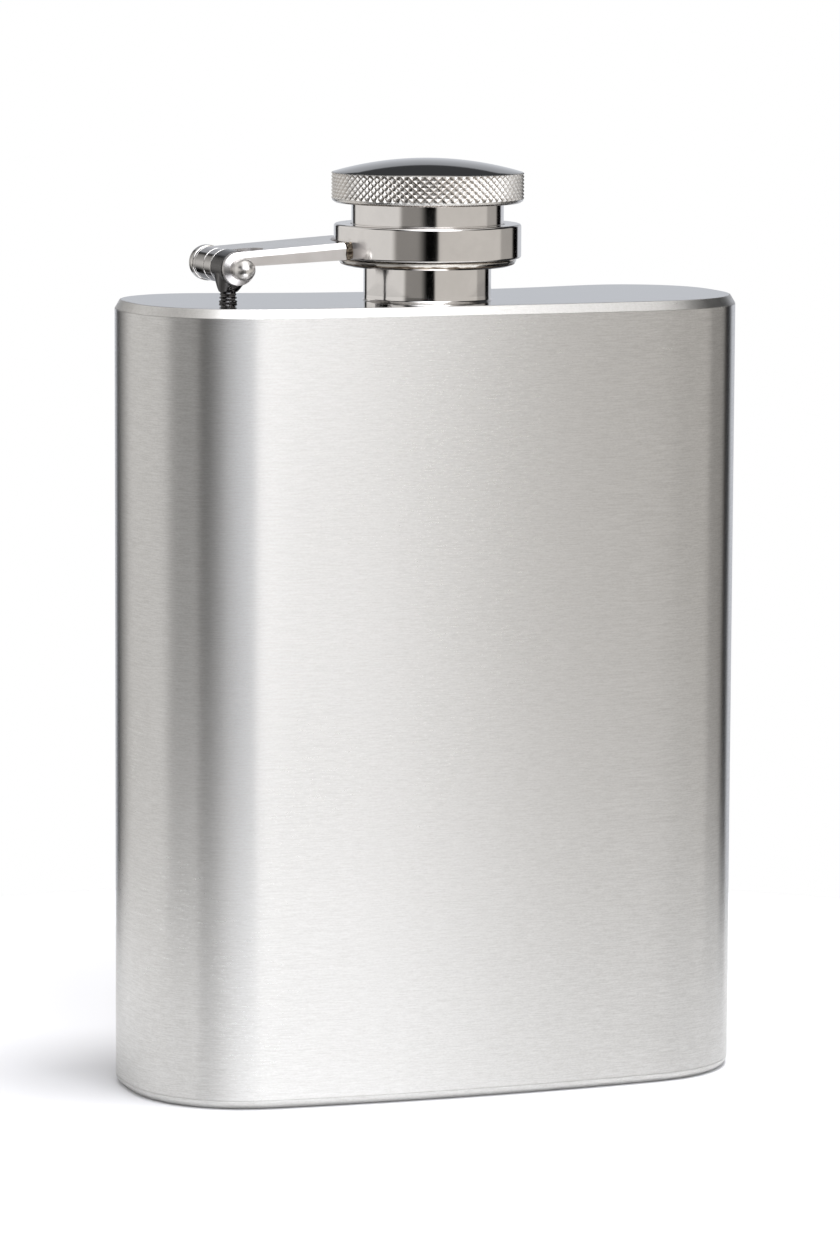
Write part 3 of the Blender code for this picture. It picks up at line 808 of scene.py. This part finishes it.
def make_barrel():
    """The turned sleeve round the rear knuckle, with its grooves and the rim beside the slot."""
    rim, proud, groove = KNUCKLE_RADIUS + 0.00009, KNUCKLE_RADIUS + 0.00005, KNUCKLE_RADIUS - 0.00012
    start, middle, end = EYE_WIDTH / 2 + 0.00010, 0.0045, ARM_BACK - 0.00004
    bands = [(start, start + 0.00030, rim), (start + 0.00036, middle - 0.00012, proud),
             (middle + 0.00012, end - 0.00062, proud), (end - 0.00052, end, proud)]
    hidden, edge = groove - 0.0003, 0.00004
    corners = [(hidden, -end, 0), (hidden, -start, 0)]
    for low, high, radius in bands:
        corners += [(groove, -low, 0), (radius, -low, edge), (radius, -high, edge), (groove, -high, 0)]
    barrel = lathe_along_y("knuckle_barrel", rounded(corners, 3, closed=True), PIN, 96, closed=True)
    return dress(barrel, "arm", "bright_steel", looks=["polished_steel"])


def make_pin():
    """The rivet: a ball-nosed head in front, its shank, and its flattened tail."""
    nose = -(pin_low.y - PIN.y)
    head = 0.00115
    face = -ARM_FRONT + 0.00002
    ball = arc((0.0, nose - head), head, math.pi / 2, 0.0, 16)
    tail = -(pin_high.y - PIN.y)
    tail_face = tail + 0.0005
    shank = rounded([(head, nose - head, 0), (head, face, 0.00008), (PIN_RADIUS, face, 0),
                     (PIN_RADIUS, tail_face, 0), (0.0013, tail_face, 0.00008),
                     (0.0011, tail + 0.0001, 0.0002), (0.0, tail, 0)], 4)
    profile = [(abs(r) if abs(r) > 1e-6 else 0.0, z) for r, z in ball + shank[1:]]
    rivet = lathe_along_y("hinge_rivet", profile, PIN, 64)
    return dress(rivet, "arm", "polished_steel", "hinge_pin", looks=["rivet"])


def make_washer():
    """The ring that closes the far end of the barrel."""
    near = -(ARM_BACK + 0.00005)
    far = -(washer_high.y - PIN.y)
    radius, bore = half_width("pin_end_washer"), PIN_RADIUS + 0.00004
    corners = [(radius, near, 0.00018), (radius, far, 0.00018), (bore, far, 0), (bore, near, 0)]
    washer = lathe_along_y("barrel_end_ring", rounded(corners, 4, closed=True), PIN, 64, closed=True)
    return dress(washer, "arm", "bright_steel", "pin_end_washer")


# ---------------------------------------------------------------- the collar and the cap

def make_braze():
    """The thin fillet of braze between the strap's end and the collar, with beads at its front corner."""
    bm = bmesh.new()
    inner, outer = COLLAR_RADIUS - 0.00004, COLLAR_RADIUS + 0.00045
    joint_x = NECK.x - COLLAR_RADIUS - PIN.x
    low = PIN.z + ARM_BOTTOM + ARM_BOTTOM_SLOPE * joint_x - 0.00005
    high = PIN.z + KNUCKLE_RADIUS + ARM_TOP_SLOPE * joint_x
    near = math.asin((PIN.y + ARM_FRONT - 0.00012 - NECK.y) / outer)
    far = math.asin((PIN.y + ARM_BACK - 0.0001 - NECK.y) / outer)
    steps = 80
    rows = []
    for i in range(steps + 1):
        turn = math.pi - (near + (far - near) * i / steps)
        wobble = 0.00005 * math.sin(i * 1.7) + 0.00004 * math.sin(i * 0.83 + 1.0)
        crown = high - 0.00020 - 0.0003 * min(1.0, i / 12) + wobble
        section = [(inner, low), (outer - 0.00008, low), (outer + wobble * 0.4, (low * 2 + crown) / 3),
                   (outer - 0.00004 + wobble * 0.3, (low + crown * 2) / 3), (outer - 0.00012, crown - 0.0001),
                   ((inner + outer) / 2, crown + 0.00008), (inner, crown + 0.00003)]
        rows.append([bm.verts.new(round_neck(r, turn, z)) for r, z in section])
    skin(bm, rows)
    beads = [(0, 0.00013, -0.00004), (3, 0.00010, -0.00002), (1, 0.00009, -0.00085)]
    for step, radius, height in beads:
        turn = math.pi - (near + (far - near) * step / steps)
        reach = inner + (outer - inner) * (0.25 + step % 2 * 0.5)
        at = Vector(round_neck(reach, turn, high + height))
        bead = bmesh.ops.create_icosphere(bm, subdivisions=3, radius=radius)
        bmesh.ops.scale(bm, vec=(1.15, 1.0, 0.85), verts=bead["verts"])
        bmesh.ops.translate(bm, vec=at, verts=bead["verts"])
    braze = link("braze_fillet", bm, 60)
    return dress(braze, "arm", "braze", "braze_joint")


def make_collar():
    """The turned collar with its hollow chamber and softly rounded edges."""
    roof, bore = collar_high.z - 0.0007, SLEEVE_RADIUS + 0.00012
    corners = [(COLLAR_RADIUS, collar_high.z, 0.00028), (COLLAR_RADIUS, collar_low.z, 0.00022),
               (COLLAR_CHAMBER, collar_low.z, 0.0001), (COLLAR_CHAMBER, roof, 0),
               (bore, roof, 0), (bore, collar_high.z, 0.00012)]
    collar = lathe("collar_ring", rounded(corners, 5, closed=True), NECK, 192, closed=True)
    return dress(collar, "arm", "polished_steel", "collar")


def make_retainer():
    """The ring under the collar, with a rolled lip."""
    top, low = collar_low.z - 0.00003, retainer_low.z
    corners = [(COLLAR_CHAMBER - 0.00002, top, 0), (RETAINER_RADIUS - 0.0002, top - 0.0001, 0.00005),
               (RETAINER_RADIUS, top - 0.00022, 0.00008), (RETAINER_RADIUS - 0.00022, low + 0.00022, 0.0003),
               (RETAINER_RADIUS - 0.0008, low, 0.0004), (RETAINER_BORE, low, 0.0001), (RETAINER_BORE, top, 0)]
    retainer = lathe("retaining_ring", rounded(corners, 5, closed=True), NECK, 192, closed=True)
    return dress(retainer, "arm", "polished_steel", "collar_retainer", looks=["retainer"])


def make_sleeve():
    """The cap's polished shank, closed by its web above the gasket."""
    web, top = gasket_high.z + 0.0001, head_low.z + 0.0026
    low, flange = sleeve_low.z, sleeve_low.z + 0.0006
    outside = [(0.0, top, 0), (SLEEVE_RADIUS, top, 0), (SLEEVE_RADIUS, flange, 0),
               (SLEEVE_FLANGE, flange, 0.00008), (SLEEVE_FLANGE, low, 0.00008)]
    inside = [(SLEEVE_BORE, low, 0.0001), (SLEEVE_BORE, low + 0.0012, 0.0001),
              (SLEEVE_ROOT, low + 0.0014, 0.0001), (SLEEVE_ROOT, gasket_low.z - 0.0004, 0.0001),
              (SLEEVE_BORE, gasket_low.z - 0.0002, 0.0001), (SLEEVE_BORE, web, 0), (0.0, web, 0)]
    sleeve = lathe("cap_shank", rounded(outside + inside, 4), NECK, 192)
    return dress(sleeve, "cap", "polished_steel", "cap_sleeve")


def make_cap_thread():
    """The helical thread inside the cap."""
    low = sleeve_low.z + 0.0016
    thread = helix("cap_thread", SLEEVE_ROOT, SLEEVE_BORE - 0.0001, low)
    return dress(thread, "cap", "polished_steel")


def make_gasket():
    """The sealing disc, with rounded edges and the ring that the neck's rim has pressed in it."""
    radius, low, high = half_width("cap_gasket"), gasket_low.z, gasket_high.z
    dent, edge = low + 0.0001, 0.00005
    corners = [(0.0, high, 0), (radius, high, 0.0001), (radius, low, 0.00025), (0.00675, low, edge),
               (0.00665, dent, edge), (0.00605, dent, edge), (0.00595, low, edge), (0.0, low, 0)]
    return dress(lathe("sealing_disc", rounded(corners, 4), NECK), "seal", "silicone", "cap_gasket")


def knurl_band(bm, low, high):
    """Diamond pyramids between two crossing sets of grooves; returns its end loops and its columns."""
    rows = 7
    columns = 2 * KNURL_DIAMONDS
    step = (high - low) / rows
    top_size = 0.12                                 # of the little flat on each pyramid
    valley, crest = HEAD_RADIUS - KNURL_DEPTH, HEAD_RADIUS

    def vert(column, row, radius):
        return bm.verts.new(round_neck(radius, math.tau * column / columns, low + row * step))

    corners = {}

    def corner(column, row):
        key = (column % columns, row)
        if key not in corners:
            corners[key] = vert(*key, valley)
        return corners[key]

    ends = {0: [], rows: []}
    for row in range(rows + 1):
        for column in range(row % 2, columns, 2):
            around = [(column - 1, row), (column, row - 1), (column + 1, row), (column, row + 1)]
            around = [(c, r) for c, r in around if 0 <= r <= rows]
            base = [corner(c, r) for c, r in around]
            tops = [vert(column + (c - column) * top_size, row + (r - row) * top_size, crest)
                    for c, r in around]
            whole = len(around) == 4                # a half diamond leaves its straight side open
            bm.faces.new(tops)
            sides = len(around) if whole else 2
            start = 0 if whole or row == rows else 1
            for k in range(sides):
                i = (start + k) % len(around)
                j = (i + 1) % len(around)
                bm.faces.new((base[i], base[j], tops[j], tops[i]))
            if not whole:
                left, right = around.index((column - 1, row)), around.index((column + 1, row))
                ends[row] += [(column - 1, base[left]), (column - top_size, tops[left]),
                              (column + top_size, tops[right])]
    return ends[0], ends[rows], columns


def make_head():
    """The grip: a diamond-knurled band between a smooth foot and a mirror-bright domed top."""
    bm = bmesh.new()
    low, high = head_low.z + 0.00050, head_low.z + 0.00322
    foot_loop, crown_loop, columns = knurl_band(bm, low, high)
    bore = SLEEVE_RADIUS + 0.00003
    edge_z = high + 0.00010
    rise = head_high.z - edge_z
    dome_edge = HEAD_RADIUS - 0.00016
    dome_radius = (dome_edge ** 2 + rise ** 2) / (2 * rise)
    spread = math.asin(dome_edge / dome_radius)
    foot = rounded([(HEAD_RADIUS - 0.00005, low - 0.00008, 0),
                    (HEAD_RADIUS - 0.00012, head_low.z + 0.0002, 0.0001),
                    (HEAD_RADIUS - 0.00045, head_low.z, 0.00015), (bore, head_low.z, 0.0001),
                    (bore, head_low.z + 0.002, 0)], 4)
    crown = [(HEAD_RADIUS - 0.00006, high + 0.00005), (dome_edge, edge_z)]
    steps = 16
    tilts = [spread * (1 - i / steps) for i in range(1, steps + 1)]
    dome = [(dome_radius * math.sin(tilt), head_high.z - dome_radius * (1 - math.cos(tilt)))
            for tilt in tilts]
    for loop, profile in ((foot_loop, foot), (crown_loop, crown + dome)):
        turns = [math.tau * column / columns for column, vert in loop]
        previous = [vert for column, vert in loop]
        for radius, z in profile:
            if radius < 1e-7:
                tip = bm.verts.new((NECK.x, NECK.y, z))
                for i in range(len(previous)):
                    bm.faces.new((previous[i], previous[(i + 1) % len(previous)], tip))
                break
            ring = [bm.verts.new(round_neck(radius, turn, z)) for turn in turns]
            bridge(bm, previous, ring)
            previous = ring
        if profile is foot:
            bm.faces.new(previous)
    head = link("knurled_cap", bm, 24)
    dress(head, "cap", "bright_steel", "cap_head", looks=["knurl", "dome"])
    for polygon in head.data.polygons:
        on_dome = polygon.center.z > edge_z - 0.00001
        polygon.material_index = 1 if on_dome else 0
    return head


# ---------------------------------------------------------------- the studio

WARM = (1.0, 0.98, 0.95)
TAN = (1.0, 0.96, 0.905)
COOL = (0.94, 0.97, 1.03)
WHITE = (1.0, 1.0, 1.0)
DAYLIGHT = (0.985, 1.0, 1.03)
ALL_ROUND = (-200, 1, 200, 1)
BACK_LEFT = (-200, 1, -176, 2)
BACK_RIGHT = (127, 3, 200, 1)
BELOW = -95
PANELS = [                    # each edge in degrees is followed by its softness
    (BACK_LEFT, (BELOW, 1, 21, 1), COOL, 0.30),                 # the lit backdrop, brightest down low
    (BACK_RIGHT, (BELOW, 1, 21, 1), COOL, 0.30),
    (BACK_LEFT, (BELOW, 1, 12, 12), COOL, 0.36),
    (BACK_RIGHT, (BELOW, 1, 12, 12), COOL, 0.36),
    ((-200, 1, -100, 20), (21, 1, 40, 4), COOL, 0.05),          # the dark ceiling behind it
    ((100, 20, 200, 1), (21, 1, 40, 4), COOL, 0.05),
    ((-163, 4, -98, 8), (BELOW, 1, -8, 4), WARM, 0.60),         # a pale wall on the left
    ((-163, 4, -62, 5), (-8, 4, 14, 4), WARM, 0.70),
    ((-168, 5, -100, 12), (12, 6, 40, 6), WARM, 0.60),
    ((-64, 5, -27, 7), (-9, 3, 3, 3), TAN, 0.25),               # the shaded side of the softbox
    ((-35, 24, 22, 6), (13, 4, 62, 4), DAYLIGHT, 3.6),          # the key softbox
    ((-6, 6, 15, 4), (13, 4, 62, 4), DAYLIGHT, 0.35),           # brighter near its lamp
    ((20, 8, 40, 8), (13, 6, 50, 6), TAN, 0.45),                # its spill
    ((-6.5, 2, 82, 2), (BELOW, 1, 12, 4), TAN, 0.58),           # a pale reflector in front
    ((82, 2, 109, 3), (BELOW, 1, 12, 4), TAN, 0.36),
    (ALL_ROUND, (42, 4, 66, 4), WARM, 0.65),                    # the pale upper walls
    (ALL_ROUND, (66, 4, 95, 1), WHITE, 1.5),                    # the overhead softbox
]
FLOOR_RADIUS = 0.125


def add_world():
    """A dark studio with soft panels, given by azimuth (from the front, + towards +X) and elevation."""
    world = bpy.data.worlds.new("studio")
    bpy.context.scene.world = world
    world.use_nodes = True
    tree = Tree(world.node_tree)
    nodes, links = tree.nodes, tree.links
    nodes.clear()

    def band(value, low, low_soft, high, high_soft):
        """1 between two soft edges and 0 outside them."""
        rise = tree.span(value, low - low_soft, low + low_soft, 0, 1, True)
        fall = tree.span(value, high - high_soft, high + high_soft, 1, 0, True)
        return tree.math("MULTIPLY", rise, fall)

    x, y, z = tree.split(nodes.new("ShaderNodeTexCoord").outputs["Generated"])
    azimuth = tree.math("DEGREES", tree.math("ARCTAN2", x, tree.math("MULTIPLY", y, -1.0)))
    elevation = tree.math("DEGREES", tree.math("ARCSINE", z))

    total = None
    for across, up, colour, strength in PANELS:
        light = nodes.new("ShaderNodeVectorMath")
        light.operation = "SCALE"
        light.inputs[0].default_value = [channel * strength for channel in colour]
        mask = tree.math("MULTIPLY", band(azimuth, *across), band(elevation, *up))
        links.new(mask, light.inputs["Scale"])
        if total is None:
            total = light.outputs[0]
            continue
        join = nodes.new("ShaderNodeVectorMath")
        links.new(total, join.inputs[0])
        links.new(light.outputs[0], join.inputs[1])
        total = join.outputs[0]

    studio = nodes.new("ShaderNodeBackground")
    links.new(total, studio.inputs["Color"])
    backdrop = nodes.new("ShaderNodeBackground")
    backdrop.inputs["Color"].default_value = (1.0, 1.0, 1.0, 1.0)
    switch = nodes.new("ShaderNodeMixShader")
    links.new(nodes.new("ShaderNodeLightPath").outputs["Is Camera Ray"], switch.inputs["Fac"])
    links.new(studio.outputs[0], switch.inputs[1])
    links.new(backdrop.outputs[0], switch.inputs[2])
    links.new(switch.outputs[0], nodes.new("ShaderNodeOutputWorld").inputs["Surface"])


def add_floor():
    """The pale table top, round and just under the flask; it glows a little so that it stays pale."""
    bm = bmesh.new()
    bmesh.ops.create_circle(bm, cap_ends=True, segments=128, radius=FLOOR_RADIUS)
    bmesh.ops.translate(bm, vec=(0, 0, -0.00003), verts=bm.verts)
    floor = link("floor", bm)
    shader = Shader("pale_floor")
    shader.set(Roughness=0.9, Specular_IOR_Level=0.0, Emission_Color=(1.0, 1.0, 1.0, 1.0))
    tone = shader.noise((6, 6, 6), 2.0, 0.5)
    seen = shader.nodes.new("ShaderNodeLightPath").outputs["Is Camera Ray"]
    pale = shader.mix(tone, (0.675, 0.675, 0.695), (0.695, 0.695, 0.715))
    shader.feed("Base Color", shader.mix(seen, (0.60, 0.60, 0.60), pale))
    shader.feed("Emission Strength", shader.span(seen, 0, 1, 0.02, 0.06))
    floor.data.materials.append(shader.material)


def add_key_light():
    """The lamp behind the softbox that throws the soft shadow; the metals don't mirror it."""
    lamp = bpy.data.lights.new("key", "AREA")
    lamp.shape = "DISK"
    lamp.size = 0.27
    lamp.energy = 6.2
    key = bpy.data.objects.new("key", lamp)
    key.location = (0.115, -0.12, 0.97)
    key.rotation_euler = (Vector((0, 0, 0.02)) - key.location).to_track_quat("-Z", "Y").to_euler()
    key.visible_glossy = False
    bpy.context.scene.collection.objects.link(key)


def add_camera():
    """The camera, level with a point above the cap and looking slightly down from the front left."""
    azimuth, pitch, roll = math.radians(-20.0), math.radians(7.376), math.radians(0.277)
    distance, aside, height = 0.6395, -0.00132, 0.13276
    back = Vector((math.sin(azimuth), -math.cos(azimuth), 0.0))
    right = Vector((math.cos(azimuth), math.sin(azimuth), 0.0))
    up = Vector((0.0, 0.0, 1.0))
    place = back * distance + right * aside + up * height
    forward = -back * math.cos(pitch) - up * math.sin(pitch)
    above = up * math.cos(pitch) - back * math.sin(pitch)
    right_rolled = right * math.cos(roll) + above * math.sin(roll)
    above_rolled = above * math.cos(roll) - right * math.sin(roll)
    data = bpy.data.cameras.new("camera")
    data.sensor_width = 36.0
    data.lens = 166.3
    data.clip_start = 0.01
    data.clip_end = 20.0
    camera = bpy.data.objects.new("camera", data)
    axes = Matrix((right_rolled, above_rolled, -forward)).transposed().to_4x4()
    camera.matrix_world = Matrix.Translation(place) @ axes
    bpy.context.scene.collection.objects.link(camera)
    bpy.context.scene.camera = camera


make_wall()
make_base()
make_lid()
make_neck()
make_neck_thread()
make_post()
make_arm()
make_pin()
make_barrel()
make_washer()
make_braze()
make_collar()
make_retainer()
make_sleeve()
make_cap_thread()
make_gasket()
make_head()

add_world()
add_floor()
add_key_light()
add_camera()
bpy.context.scene.view_settings.view_transform = "Standard"
